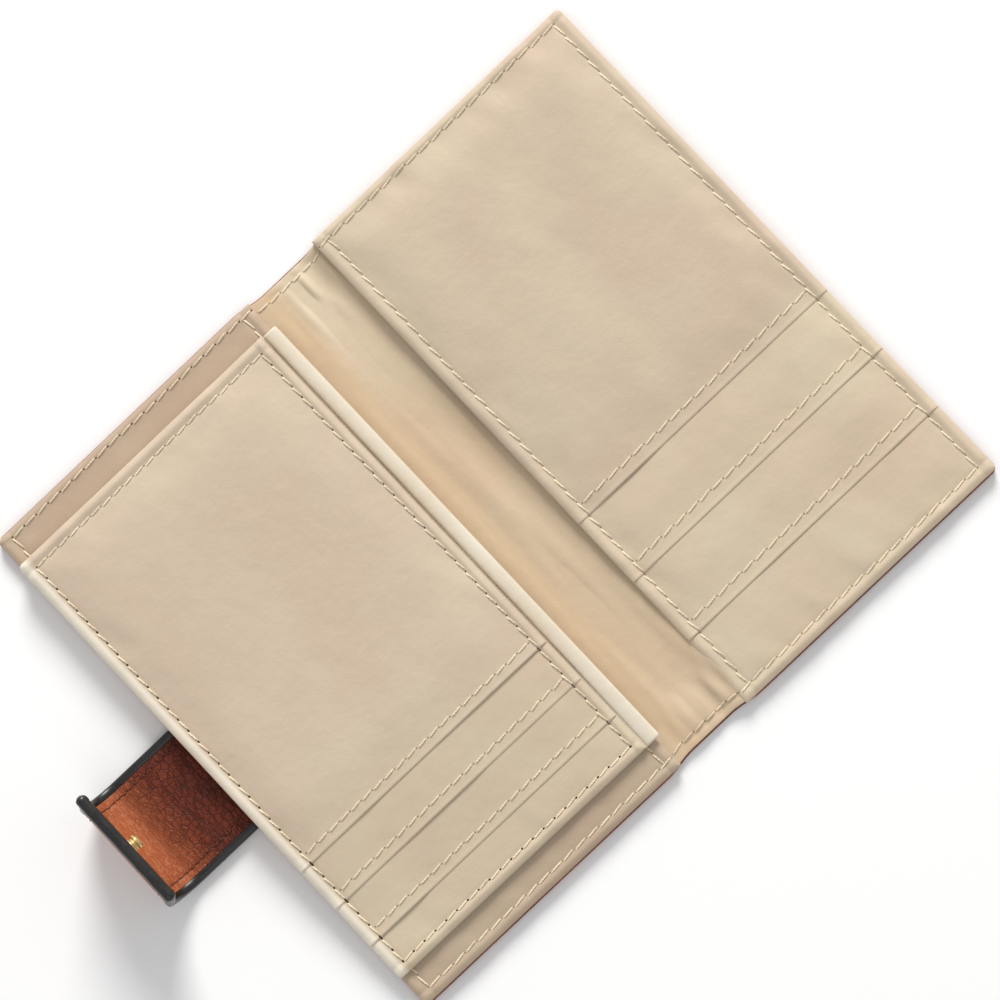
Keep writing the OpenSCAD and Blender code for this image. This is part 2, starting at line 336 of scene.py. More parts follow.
def thread_material(name, light, dark):
    """Sewing thread, twisted from plies, darker between them: painted shade."""
    material, shader, coords = new_material(name, 0.55, Sheen_Weight=0.2)
    plies = add_node("TexWave", {"bands_direction": "DIAGONAL"},
                     Vector=coords, Scale=560.0, Distortion=1.2).outputs["Fac"]
    # lighter on the plies' crests and darker between them: painted shade, mixed with random tone
    tone = times(plies, noise(coords, 1500.0))
    link(mix(remap(tone, 0.1, 0.6), dark, light), shader, "Base Color")
    bumps(shader, plies, 0.4, 0.0001)
    return material


def hole_material(name, colour):
    """The shaded inside of a needle hole."""
    material, shader, coords = new_material(name, 0.9, Specular_IOR_Level=0.1)
    link(mix(noise(coords, 1200.0), colour, scaled(colour, 0.45)), shader, "Base Color")
    return material


def board_material():
    """Grey-brown bonded fibre board."""
    material, shader, coords = new_material("board", 0.85, "object")
    fibres = noise(stretched(coords, (300, 1500, 900)), 1.0, 4.0)
    tone = mix(remap(fibres, 0.3, 0.7), srgb(150, 138, 118), srgb(112, 100, 84))
    link(tone, shader, "Base Color")
    bumps(shader, fibres, 0.3, 0.0002)
    return material


POCKET = cloth_material("pocket_cloth", srgb(208, 191, 166), srgb(204, 182, 160))
# a slightly lighter copy of the pocket cloth for the front's backing and lower card slots: painted light
SLOT_PAINTED_LIGHT = cloth_material("slot_cloth", srgb(213, 197, 170), srgb(210, 189, 164))
LEAF_HEM = span("leaf_backing", 0)[1] - 3.3  # the lighter band on the leaf's outer hem by the tab starts here
# a lighter band over the leaf's rolled outer hem: painted light, where the hem catches fill light
HEM_PAINTED_LIGHT = [(srgb(232, 223, 206), [("X", LEAF_HEM + 6, 5.4, 6.4)])]
LEAF_POCKET = cloth_material("leaf_pocket_cloth", srgb(211, 194, 169), srgb(207, 186, 164), HEM_PAINTED_LIGHT)
LEAF_SLOT = cloth_material("leaf_slot_cloth", srgb(211, 195, 168), srgb(208, 187, 162), HEM_PAINTED_LIGHT)
# a darker, slightly warmer copy of the pocket cloth for the low back pocket: painted shade
BACK_POCKET_SHADE = cloth_material("back_pocket_shaded_cloth", srgb(194, 174, 149), srgb(188, 164, 141))
# a lighter copy of the cloth for the leaf's lip: painted light, where the rolled lip faces the light
LIP_PAINTED_LIGHT = cloth_material("lip_painted_light_cloth", srgb(231, 221, 202), srgb(224, 210, 188))
# lighter in the middle of the spine toward its low-y end, where the folds face away from the light:
# painted light; and a warmer tan band beside the leaf's lip
SPINE_PAINTED_LIGHT_AND_TAN = [(srgb(220, 202, 175), [("X", -1, 4, 12), ("Y", -95, 15, 60)]),
               (srgb(216, 188, 152), [("X", 8.5, 0.5, 6)])]
LINING = cloth_material("lining_cloth", srgb(211, 190, 160), srgb(209, 183, 152), SPINE_PAINTED_LIGHT_AND_TAN)
LEATHER = leather_material("cover_leather", False)
TAB_LEATHER = leather_material("tab_leather", True)
ROOT_LEATHER = leather_material("root_leather", False, "object")
BINDING_PAINT = mottled_material(
    "binding", 0.36, (srgb(15, 13, 13), srgb(31, 28, 27)), (900.0, 0.3, 0.7), (0.3, 0.42),
    (700.0, 0.2, 0.0002), Coat_Weight=0.3, Coat_Roughness=0.3)
THREAD = thread_material("cream_thread", srgb(246, 234, 210), srgb(224, 206, 174))
RED_THREAD = thread_material("red_thread", srgb(128, 52, 32), srgb(78, 28, 18))
HOLE = hole_material("needle_hole", srgb(174, 146, 113))
DARK_HOLE = hole_material("dark_needle_hole", srgb(72, 44, 28))
RED_HOLE = hole_material("leather_needle_hole", srgb(60, 24, 16))
BRASS = mottled_material(
    "brass", 0.28, (srgb(236, 212, 158), srgb(206, 176, 118)), (420.0, 0.35, 0.7), (0.34, 0.48),
    (1800.0, 0.08, 0.0001), "object", Metallic=1.0)
BOARD = board_material()


# ---- meshes

def add_object(name, data):
    """An object in the scene."""
    made = bpy.data.objects.new(name, data)
    bpy.context.scene.collection.objects.link(made)
    return made


def build(name, points, faces, material, place=None):
    """A mesh object from points in millimetres, moved by place and smooth except at sharp edges."""
    points = np.asarray(points, float)
    flat = (points * MM).astype(np.float32)
    if place is not None:
        points = place(points)
    mesh = bpy.data.meshes.new(name)
    mesh.from_pydata((points * MM).tolist(), [], faces)
    mesh.attributes.new("flat", "FLOAT_VECTOR", "POINT").data.foreach_set("vector", flat.ravel())
    mesh.validate()
    mesh.polygons.foreach_set("use_smooth", [True] * len(mesh.polygons))
    mesh.set_sharp_from_angle(angle=math.radians(50))
    mesh.materials.append(material)
    return add_object(name, mesh)


def grid_lines(low, high, step, closer=(), crowd=(0.07, 0.22, 0.45, 0.8, 1.3, 2.0)):
    """Grid lines from low to high, crowded at both ends and round each place in closer."""
    marks = set(np.linspace(low, high, max(2, int(round((high - low) / step)) + 1)))
    marks.update(low + d for d in crowd)
    marks.update(high - d for d in crowd)
    for place in closer:
        marks.update(place + d for d in (-1.5, -0.8, -0.4, 0, 0.4, 0.8, 1.5))
    kept = [low]
    for mark in sorted(m for m in marks if low < m < high):
        if mark - kept[-1] > 0.06 and high - mark > 0.05:
            kept.append(mark)
    return np.array(kept + [high])


def hole_lines(marks, middle, radius):
    """Grid lines with more of them round a hole, two of them on its sides."""
    shares = (-1.9, -1.4, -1, -0.75, -0.4, 0, 0.4, 0.75, 1, 1.4, 1.9)
    lines = [middle + share * radius for share in shares]
    kept = [m for m in marks if min(abs(m - line) for line in lines) > 0.3]
    return np.array(sorted(kept + lines))


def open_hole(grid_x, grid_y, hole):
    """Moves the grid's points so that the square of lines round a hole turns into a circle."""
    x, y, radius = hole
    away_x, away_y = grid_x - x, grid_y - y
    reach = np.maximum(np.abs(away_x), np.abs(away_y))
    size = np.maximum(np.hypot(away_x, away_y), 1e-9)
    far = np.clip((reach - radius) / radius, 0, 1)
    scale = (1 - far) * reach / size + far
    return x + away_x * scale, y + away_y * scale


def ring_of(i0, i1, j0, j1, m):
    """Point numbers round a block of a grid with m points in each row, anticlockwise."""
    return ([i * m + j0 for i in range(i0, i1 + 1)] + [i1 * m + j for j in range(j0 + 1, j1 + 1)]
            + [i * m + j1 for i in range(i1 - 1, i0 - 1, -1)]
            + [i0 * m + j for j in range(j1 - 1, j0, -1)])


def side_gaps(box, x, y):
    """Distances in from the sides of a box: x and X for low and high x, y and Y for low and high y."""
    x0, x1, y0, y1 = box
    return {"x": x - x0, "X": x1 - x, "y": y - y0, "Y": y1 - y}


def no_repeats(face):
    """A face without the points that repeat the one before."""
    return [p for k, p in enumerate(face) if p != face[k - 1]]


def sheet_mesh(name, xs, ys, top, bottom, material, radius=0.35, round_sides="xXyY", place=None,
               hole=None):
    """A closed sheet over a grid, between a top and a bottom height function.

    round_sides names the sides that close in a rounded edge, as in side_gaps.
    hole is the middle and radius of a round hole, whose sides lie on grid lines."""
    grid_x, grid_y = np.meshgrid(xs, ys, indexing="ij")
    if hole:
        grid_x, grid_y = open_hole(grid_x, grid_y, hole)
    high, low = top(grid_x, grid_y), bottom(grid_x, grid_y)
    gaps = side_gaps((xs[0], xs[-1], ys[0], ys[-1]), grid_x, grid_y)
    fullness = np.ones_like(grid_x)
    for side in round_sides:
        fullness *= rounded(gaps[side], radius)
    middle, half = (high + low) / 2, (high - low) / 2 * fullness
    upper = np.stack([grid_x, grid_y, middle + half], -1).reshape(-1, 3)
    lower = np.stack([grid_x, grid_y, middle - half], -1).reshape(-1, 3)
    n, m = grid_x.shape
    i, j = np.meshgrid(np.arange(n - 1), np.arange(m - 1), indexing="ij")
    corner = (i * m + j).ravel()
    rings = [ring_of(0, n - 1, 0, m - 1, m)]
    if hole:
        i0, i1 = [int(np.argmin(abs(xs - hole[0] - side * hole[2]))) for side in (-1, 1)]
        j0, j1 = [int(np.argmin(abs(ys - hole[1] - side * hole[2]))) for side in (-1, 1)]
        inside = (i >= i0) & (i < i1) & (j >= j0) & (j < j1)
        corner = corner[~inside.ravel()]
        rings.append(ring_of(i0, i1, j0, j1, m)[::-1])
    quads = np.stack([corner, corner + m, corner + m + 1, corner + 1], 1)
    count = n * m
    twin = np.arange(count) + np.where(half.ravel() < 1e-6, 0, count)
    under = twin[quads[:, ::-1]]
    faces = quads.tolist()
    walls = [[a, int(twin[a]), int(twin[b]), b]
             for ring in rings for a, b in zip(ring, ring[1:] + ring[:1])]
    faces += [kept for kept in map(no_repeats, under.tolist() + walls) if len(set(kept)) > 2]
    points = np.concatenate([upper, lower])
    used = np.zeros(len(points), bool)
    for face in faces:
        used[face] = True
    renumber = np.cumsum(used) - 1
    faces = [[int(renumber[p]) for p in face] for face in faces]
    return build(name, points[used], faces, material, place)


def round_corners(box, radius, corners="xyXyxYXY"):
    """Moves points so that the sheet's square corners turn round. corners lists pairs such as xY."""
    x0, x1, y0, y1 = box
    pairs = [corners[k:k + 2] for k in range(0, len(corners), 2)]

    def place(points):
        points = points.copy()
        for side_x, side_y in pairs:
            sign_x, edge_x = (-1, x0) if side_x == "x" else (1, x1)
            sign_y, edge_y = (-1, y0) if side_y == "y" else (1, y1)
            u = (points[:, 0] - edge_x) * sign_x / radius + 1
            v = (points[:, 1] - edge_y) * sign_y / radius + 1
            inside = (u > 0) & (v > 0)
            a, b = u[inside], v[inside]
            points[inside, 0] = edge_x + sign_x * radius * (a * np.sqrt(1 - b * b / 2) - 1)
            points[inside, 1] = edge_y + sign_y * radius * (b * np.sqrt(1 - a * a / 2) - 1)
        return points

    return place


def draw_in(points):
    """Pulls the two ends of the soft spine in a little, as sewing does."""
    points = points.copy()
    x, y = points[:, 0], points[:, 1]
    pull = DRAWN_IN * (1 - ramp(np.abs(x - 0.7), 8, 19)) * ramp(np.abs(y), 60, HALF_LEN)
    points[:, 1] = y - np.sign(y) * pull
    return points


def curl(points):
    """Bends the flat tab up round its bend, with the outer face outside."""
    points = points.copy()
    x, z = points[:, 0], points[:, 2]
    angle = np.clip((x - BEND_X) / TAB_MID_R, 0, BEND)
    beyond = np.maximum(x - ARC_END, 0)
    reach = BEND_R + TAB_T - z
    bent = x > BEND_X
    new_x = BEND_X + reach * np.sin(angle) + beyond * np.cos(angle)
    new_z = BEND_Z - reach * np.cos(angle) + beyond * np.sin(angle)
    points[:, 0] = np.where(bent, new_x, x)
    points[:, 2] = np.where(bent, new_z, z)
    return points


def bar_faces(rings, sides):
    """Faces of a closed bar: rings with so many sides each, then its two ends."""
    faces = []
    for r in range(rings - 1):
        for k in range(sides):
            a, b = r * sides + k, r * sides + (k + 1) % sides
            faces.append([a, b, b + sides, a + sides])
    ring = list(range(sides))
    return faces + [ring[::-1], [(rings - 1) * sides + k for k in ring]]


def bar(name, points, rings, material, place=None):
    """A closed bar from rings of points, with its faces turned outwards."""
    made = build(name, points, bar_faces(rings, len(points) // rings), material, place)
    mesh = made.data
    co = np.array([v.co for v in mesh.vertices])
    volume = 0.0
    for face in mesh.polygons:
        corners = co[list(face.vertices)]
        for k in range(1, len(corners) - 1):
            volume += float(np.dot(corners[0], np.cross(corners[k], corners[k + 1])))
    if volume < 0:
        mesh.flip_normals()
    return made


def stitch_rings(centres, along, length, radius, rise, up):
    """Rings of the thread of many stitches: each rises from one needle hole and dips into the next."""
    sides, rings = 6, 7
    u = np.linspace(-1, 1, rings)
    side = np.stack([-along[:, 1], along[:, 0]], -1)
    angles = np.linspace(0, 2 * math.pi, sides, endpoint=False)
    points = np.zeros((len(centres), rings, sides, 3))
    lift = rise * (1 - np.abs(u) ** 4) - radius * 0.6 * np.abs(u) ** 8
    width = radius * (1 - 0.45 * u ** 6)
    for r in range(rings):
        middle = centres[:, None, :2] + along[:, None, :] * u[r] * length / 2
        across = np.cos(angles)[None, :, None] * width[r] * side[:, None, :]
        points[:, r, :, :2] = middle + across
        points[:, r, :, 2] = up * (lift[r] + np.sin(angles) * width[r] * 0.8)[None, :]
    one = bar_faces(rings, sides)
    if up < 0:
        one = [face[:1] + face[:0:-1] for face in one]
    faces = [[s * rings * sides + p for p in face] for s in range(len(centres)) for face in one]
    return points.reshape(-1, 3), faces


def stitch_row(name, start, end, height, material, hole, pitch=5.0, length=4.85, radius=0.29,
               slant=8.0, up=1, seed=1, place=None, hole_size=0.27):
    """A row of stitches and, as a second piece, the needle holes between them."""
    start, end = np.array(start, float), np.array(end, float)
    run = end - start
    size = math.hypot(*run)
    count = max(1, int(round(size / pitch)))
    random = np.random.default_rng(seed)
    along = run / size
    side = np.array([-along[1], along[0]])
    steps = (np.arange(count) + 0.5) / count
    centres = start + run * steps[:, None] + side * random.normal(0, 0.07, (count, 1))
    turn = np.radians(slant + random.normal(0, 1.6, count))
    lean = along * np.cos(turn)[:, None] + side * np.sin(turn)[:, None]
    length = length * (size / count / pitch)
    points, faces = stitch_rings(centres, lean, length, radius, 0.2, up)
    points[:, 2] += height(points[:, 0], points[:, 1])
    row = build(name, points, faces, material, place)
    spots = start + run * (np.arange(count + 1) / count)[:, None]
    sides = 8
    rim = np.linspace(0, 2 * math.pi, sides, endpoint=False)
    dots, dot_faces = [], []
    for k, spot in enumerate(spots):
        long_axis = hole_size * random.uniform(1.0, 1.5)
        ring = (spot + along * (np.cos(rim) * long_axis)[:, None]
                + side * (np.sin(rim) * hole_size * 0.8)[:, None])
        level = height(ring[:, 0], ring[:, 1])
        middle = height(spot[:1], spot[1:]) + up * 0.012
        dots += [*np.column_stack([ring, level + up * 0.035]), [*spot, *middle],
                 *np.column_stack([ring, level - up * 0.12])]
        first = k * (2 * sides + 1)
        low = first + sides + 1
        for a in range(sides):
            b = (a + 1) % sides
            cap = [first + a, first + b, first + sides]
            wall = [first + a, low + a, low + b, first + b]
            dot_faces += [cap, wall] if up > 0 else [cap[::-1], wall[::-1]]
        floor = [low + a for a in range(sides)]
        dot_faces.append(floor[::-1] if up > 0 else floor)
    return row, build(name + "_holes", dots, dot_faces, hole, place)


# ---- heights of the cloth

class Stack:
    """A pile of cloth layers over a floor height, sewn to it along seams_x and seams_y.

    tops are the heights of its layers, and box is its outline."""

    def __init__(self, floor, tops, box, seams_x, seams_y, seed, pinch, relief=0.3):
        self.floor, self.tops, self.box = floor, tops, box
        self.seams_x, self.seams_y, self.pinch, self.relief = seams_x, seams_y, pinch, relief
        self.slow = noise_field(seed, 46, 20, 1.5)
        self.medium = noise_field(seed + 1, 15, 65, 2.2)
        self.quick = noise_field(seed + 2, 5.5, 110, 2.4)
        self.mouths = {}

    def edge(self, x, y):
        """Distance to the outline, in from it."""
        return np.min(list(side_gaps(self.box, x, y).values()), axis=0)

    def seam(self, x, y):
        """Distance to the nearest seam of the outline."""
        near = [np.abs(x - s) for s in self.seams_x] + [np.abs(y - s) for s in self.seams_y]
        return np.min(near, axis=0)

    def shape(self, x, y, thickness):
        """Height over the floor: pinched at the outline, waved inside it and ruffled by the seams."""
        edge, seam = self.edge(x, y), self.seam(x, y)
        flat = bell(np.maximum(0, edge - 2.5), 8.0)
        rise = thickness * (1 - self.pinch * flat)
        loose = 1 - 0.8 * bell(np.maximum(0, edge - 1), 6.0)
        waves = self.relief * (0.62 * self.slow(x, y) + 0.56 * self.medium(x, y)) * loose
        near_seam = 0.2 + 0.8 * bell(np.maximum(0, seam - 1), 6.0)
        ruffle = self.relief * 0.56 * self.quick(x, y) * near_seam
        groove = -0.2 * bell(seam, 0.8)
        roll = 0.40 * bell(edge - 1.9, 1.2)
        return rise + waves + ruffle + groove + roll

    def level(self, layer, x, y):
        """Height of a layer's upper face, before it rounds off at the outline."""
        z = self.floor + self.shape(x, y, self.tops[layer] - self.floor)
        if layer in self.mouths:
            mouth_y, seam_y = self.mouths[layer]
            z = z + 0.08 * bell(y - seam_y - 2.6, 2.0) - 0.2 * bell(y - seam_y, 0.8)
            closing = ramp(y, mouth_y - 17, mouth_y - 1.0)
            gape = 0.15 + 0.6 * np.maximum(0, self.medium(x + 31 * layer, y))
            z = z + (np.minimum(z, self.level(layer - 1, x, y) + gape) - z) * closing
            z = z + 0.12 * np.clip((y - seam_y) / (mouth_y - seam_y), 0, 1)
            z = z + 0.10 * bell(y - mouth_y + 0.6, 0.32)
        return z

    def top(self, layer):
        """The height of a layer's upper face, as a function of x and y."""
        def height(x, y):
            drop = 1 - rounded(self.edge(x, y), 1.9)
            return self.level(layer, x, y) - 0.55 * drop

        return height

    def bottom(self, layer, hems):
        """The layer's underside: on the layer below in its hems, and open between them."""
        upper = self.top(layer)

        def height(x, y):
            free = upper(x, y) - PLY
            rest = np.full_like(x, self.floor + 0.03)
            if layer > 0:
                below = self.top(layer - 1)(x, y)
                free, rest = np.maximum(free, below + 0.04), below + 0.05
            gaps = side_gaps(self.box, x, y)
            sewn = 1 - ramp(np.min([gaps[side] for side in hems], axis=0), HEM, HEM + 1.5)
            return free * (1 - sewn) + np.minimum(rest, free) * sewn

        return height


def panel(name, node, stack, layer, body, hems, material, corners, y_from=None, mouth=None):
    """One cloth panel of a stack, standing for its CAD node.

    mouth is the seam below its open end. Short of y_from only every fourth grid line is kept."""
    x0, x1 = span(node, 0)
    y0, y1 = span(node, 1)
    x0, x1 = max(x0 - GROW_X, stack.box[0]), min(x1 + GROW_X, stack.box[1])
    y0, y1 = max(y0 - GROW_Y, stack.box[2]), y1 if mouth else min(y1 + GROW_Y, stack.box[3])
    closer = [s for s in stack.seams_y if y0 < s < y1]
    if mouth:
        stack.mouths[layer] = (y1, mouth)
        closer.append(mouth)
    ys = grid_lines(y0, y1, 1.6, closer)
    if y_from is not None:
        ys = np.array([y for k, y in enumerate(ys) if y > y_from or y < y0 + 8 or k % 4 == 0])
    xs = grid_lines(x0, x1, 2.0, [s for s in stack.seams_x if x0 < s < x1])
    made = sheet_mesh(name, xs, ys, stack.top(layer), stack.bottom(layer, hems), material,
                      place=round_corners((x0, x1, y0, y1), 1.6, corners))
    lay_panel(made, body, node)


def lay_panel(made, body, node):
    """Sets a cloth panel to ride on one body, and hides the CAD node it stands for."""
    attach(made, body)
    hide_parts(node)


# ---- covers

WORD = {1: "back", -1: "front"}  # the cover on each side of the spine


def leather_edge(x, y):
    """Distance to the leather's outline, in from it."""
    return np.minimum(np.minimum(BACK_X - x, x - FRONT_X), HALF_LEN - np.abs(y))


def leather_top(x, y):
    """The leather's inner face: up over the turned edges, and thin in the spine."""
    turned = 1 - ramp(leather_edge(x, y), TURN - 0.6, TURN)
    rim = turned * ramp(np.abs(x), FOLD_X, SPINE_SOFT)
    return LEATHER_T - 0.03 + (RIM_Z - LEATHER_T) * rim


GRAIN = noise_field(31, 30)


def leather_bottom(x, y):
    """The outer face: nearly flat, and drawn in by the seam round the edge."""
    inner = leather_edge(x, y)
    return 0.16 * bell(inner - TOPSTITCH, 0.8) + 0.05 * (1 + GRAIN(x, y)) * ramp(inner, 4, 12)


def around_socket(side, xs, ys):
    """The grid lines of one half of a cover, and its hole: only the front has the snap's socket."""
    if side > 0:
        return xs, ys, None
    x, y, radius = SOCKET
    return hole_lines(xs, x, radius), hole_lines(ys, y, radius), SOCKET


def over_fold(piece, side):
    """Bakes a piece's transform into its mesh."""
    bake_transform(piece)


def lay_half(made, side, part):
    """Bakes one half of the cover's leather or lining into place, and hides the CAD nodes it stands for.
    """
    word = WORD[side]
    over_fold(made, side)
    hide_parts(f"{word}_{part}", "spine_" + part)


def cover_leather(side, edge):
    """One half of the cover leather, from the middle of the spine to its outer edge."""
    x0, x1 = min(0.0, edge), max(0.0, edge)
    outer = "X" if side > 0 else "x"
    crowd = (0.1, 0.3, 0.6, 1.0, 1.5, 2.2)
    seam_y = HALF_LEN - TOPSTITCH
    xs, ys, hole = around_socket(side, grid_lines(x0, x1, 1.6, [edge - side * TOPSTITCH], crowd),
                                 grid_lines(-HALF_LEN, HALF_LEN, 3.0, (-seam_y, seam_y), crowd))
    rounding = round_corners((x0, x1, -HALF_LEN, HALF_LEN), 2.2, f"{outer}y{outer}Y")
    made = sheet_mesh(WORD[side] + "_cover_leather", xs, ys, leather_top, leather_bottom, LEATHER,
                      radius=1.25, round_sides="yY" + outer,
                      place=lambda p: draw_in(rounding(p)), hole=hole)
    lay_half(made, side, "leather")


SPINE_WAVE = noise_field(51, 7, 90, 6.0)
SPINE_CREASE = noise_field(53, 3.2, 90, 9.0)
SPINE_PUCKER = noise_field(55, 2.9, 90, 5.0)
LINING_SEAM = 2.6  # from the lining's edge to its seam


def lining_top(x, y):
    """The lining: flat over the boards, and dipping softly into the spine with long folds."""
    dip = 1 - np.where(x < 0, ramp(-x, 2.0, FOLD_X + 2.0), ramp(x, FOLD_X - 0.6, FOLD_X + 3.0))
    base = LINING_TOP - (LINING_TOP - SPINE_TOP - 0.15) * dip
    soft = 1 - np.where(x < 0, ramp(-x, FOLD_X - 1.0, SPINE_SOFT + 1.0), ramp(x, 6.5, 10.5))
    folds = (0.56 * SPINE_WAVE(x, y) + 0.26 * SPINE_CREASE(x, y)) * soft
    pucker = (1.2 * SPINE_PUCKER(x, y) + np.where(y > 0, 0.35, 0.0)) * soft
    pucker = pucker * bell(np.abs(y) - 85, 11.0)
    groove = -0.3 * bell(PUFF_Y - np.abs(y) - LINING_SEAM, 0.9)
    return np.maximum(base + folds + pucker + groove * soft + 0.25 * soft, LEATHER_T + 0.45)


def lining(side, edge):
    """One half of the lining, from the middle of the spine to its outer edge."""
    if side > 0:
        xs = [*grid_lines(0.0, FLAT_FROM, 0.9), *grid_lines(FLAT_FROM, edge, 6.0)[1:]]
    else:
        xs = [*grid_lines(edge, -FLAT_FROM, 6.0)[:-1], *grid_lines(-FLAT_FROM, 0.0, 0.9)]
    seam_y = PUFF_Y - LINING_SEAM
    ys = grid_lines(-PUFF_Y, PUFF_Y, 1.5, (-seam_y, seam_y))
    xs, ys, hole = around_socket(side, np.array(xs), ys)
    made = sheet_mesh(WORD[side] + "_cover_lining", xs, ys, lining_top,
                      lambda x, y: lining_top(x, y) - 0.36, LINING, radius=0.4,
                      round_sides="yY" + ("X" if side > 0 else "x"), place=draw_in, hole=hole)
    lay_half(made, side, "lining")


for side, edge, cloth_edge in ((1, BACK_X, BACK_CLOTH_X), (-1, FRONT_X, FRONT_CLOTH_X)):
    cover_leather(side, edge)
    lining(side, cloth_edge)


# ---- pockets of the two covers

pocket_x = span("back_pocket", 0)
pocket_z = span("back_pocket", 2)[1]
BACK_STACK = Stack(LINING_TOP, [pocket_z], (pocket_x[0], pocket_x[1] + GROW_X, -PUFF_Y, PUFF_Y),
                   (pocket_x[0] + 3.9, pocket_x[1] - 3.9), (-92.3, 91.1), 11, pinch=0.35)
panel("back_pocket_panel", "back_pocket", BACK_STACK, 0, "back_cover", "XyY",
      BACK_POCKET_SHADE, "XyXY")

LAYERS = ("backing", "slot_3", "slot_2", "slot_1")  # from the lowest one up


def slot_panels(word, body, outer, stack, slots, cloth, top_cloth, y_from):
    """A slot backing and its three card slots. outer is the side away from the spine, x or X."""
    backing = word + "_slot_backing"
    panel(backing, word + "_backing", stack, 0, body, outer + "yY", cloth,
          f"{outer}y{outer}Y", y_from=60)
    for count, seam_y in slots.items():
        panel(f"{word}_card_slot_{count}", f"{word}_slot_{count}", stack, 4 - count, body, "xXy",
              cloth if count > 1 else top_cloth, outer + "y",
              y_from=y_from if count > 1 else -95, mouth=seam_y)


FRONT_SLOTS = {3: 65.5, 2: 41.6, 1: 18.2}  # where in y the seam of each card slot is
front_x = span("front_backing", 0)
front_tops = [span("front_" + layer, 2)[1] for layer in LAYERS]
FRONT_STACK = Stack(LINING_TOP, front_tops, (front_x[0] - GROW_X, front_x[1], -PUFF_Y, PUFF_Y),
                    (front_x[0] + 3.5, front_x[1] - 4.3), (-91.7, 90.7), 21, pinch=0.32, relief=0.86)
slot_panels("front", "front_cover", "x", FRONT_STACK, FRONT_SLOTS, SLOT_PAINTED_LIGHT, POCKET, 30)

# ---- inner leaf

LEAF_SLOTS = {3: 67.4, 2: 52.4, 1: 37.6}
leaf_x = span("leaf_backing", 0)
leaf_y = span("leaf_backing", 1)
leaf_tops = [span("leaf_" + layer, 2)[1] for layer in LAYERS]
LEAF_STACK = Stack(LEAF_BACK_TOP, leaf_tops, (leaf_x[0] + 1.3, leaf_x[1], *leaf_y),
                   (leaf_x[0] + 4.5, leaf_x[1] - 4.3), (-79.8, 80.4), 41, pinch=0.26, relief=0.58)
slot_panels("leaf", "leaf", "X", LEAF_STACK, LEAF_SLOTS, LEAF_SLOT, LEAF_POCKET, 45)


def leaf_back():
    """The leaf's back panel, whose hem shows as a lip on the spine side, its brightness partly painted
    light.
    """
    x0, x1 = span("leaf_back", 0)
    y0, y1 = span("leaf_back", 1)
    low = span("leaf_back", 2)[0]
    wave = noise_field(61, 22, 90, 3.0)

    def top(x, y):
        hem = np.sqrt(np.clip(1 - ((x - x0 - 2.2) / 2.8) ** 2, 0, 1))
        return LEAF_BACK_TOP - 0.02 + hem * (1.15 + 0.2 * wave(x, y))

    x0 -= 0.4
    lip = 5.8  # the part with a fine grid
    xs = np.concatenate([np.arange(x0, x0 + lip, 0.24), grid_lines(x0 + lip, x1, 4.0)])
    made = sheet_mesh("leaf_back_panel", xs, grid_lines(y0, y1, 2.0),
                      top, lambda x, y: np.full_like(x, low), LIP_PAINTED_LIGHT, radius=0.6,
                      place=round_corners((x0, x1, y0, y1), 0.8))
    lay_panel(made, "leaf", "leaf_back")


leaf_back()


def folded_strip(name, node, along_x, fold_high):
    """A strip of cloth folded in two under the leaf: one ply on the cover, one on the leaf."""
    x0, x1 = span(node, 0)
    y0, y1 = span(node, 1)
    low, high = span(node, 2)
    high += 0.2  # the upper ply reaches up to the leaf
    ply = 0.13
    across, run = ((y0, y1), (x0, x1)) if along_x else ((x0, x1), (y0, y1))
    inner, outer = across if fold_high else across[::-1]
    sign = 1 if fold_high else -1
    mid, half = (low + high) / 2, (high - low) / 2

    def turn(radius, first, last):
        """Points round the fold."""
        return [(outer - sign * half + sign * radius * math.cos(a), mid + radius * math.sin(a))
                for a in np.linspace(first, last, 9)]

    quarter = math.pi / 2
    outline = [(inner, low), *turn(half, -quarter, quarter), (inner, high), (inner, high - ply),
               *turn(half - ply, quarter, -quarter), (inner, low + ply)]
    steps = np.linspace(run[0], run[1], 40)
    wave = noise_field(71, 9)
    points = []
    for s in steps:
        for a, z in outline:
            push = 0.25 * float(wave(np.array(s), np.array(a)))
            points.append((s, a + push, z) if along_x else (a + push, s, z))
    made = bar(name, points, len(steps), POCKET)
    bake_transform(made)
    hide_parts(node)


folded_strip("leaf_gusset_low", "leaf_gusset_lower", True, True)
folded_strip("leaf_gusset_high", "leaf_gusset_upper", True, False)
folded_strip("leaf_hinge", "leaf_hinge_strip", False, True)


# ---- seams of the cloth

MOUTH_GAP = 0.4  # a seam breaks off this far from a card slot's mouth


def seam(name, start, end, height, body, hole=HOLE, **more):
    """A row of stitches with its needle holes, riding on one body."""
    for made in stitch_row(name, start, end, height, THREAD, hole, **more):
        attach(made, body)


def seam_across(word, place, stack, x, body, seed, **more):
    """A seam along y that climbs over the layers, with a gap at the mouth of each card slot."""
    mouths = [span(f"{word}_slot_{n}", 1)[1] for n in (1, 2, 3)]
    low, high = stack.seams_y
    runs = zip([low] + [y + MOUTH_GAP for y in mouths], [y - MOUTH_GAP for y in mouths] + [high])
    for k, (y0, y1) in enumerate(runs):
        seam(f"{word}_seam_{place}_{k}", (x, y0), (x, y1), stack.top(3 - k), body, seed=seed + k, **more)


def slot_seams(word, stack, slots, body, seed, **more):
    """The seam of each card slot, just below its mouth."""
    x0, x1 = stack.seams_x
    for count, y in sorted(slots.items()):
        seam(f"{word}_slot_seam_{count}", (x0 + 1, y), (x1 - 1, y), stack.top(4 - count), body,
             seed=seed + count, **more)


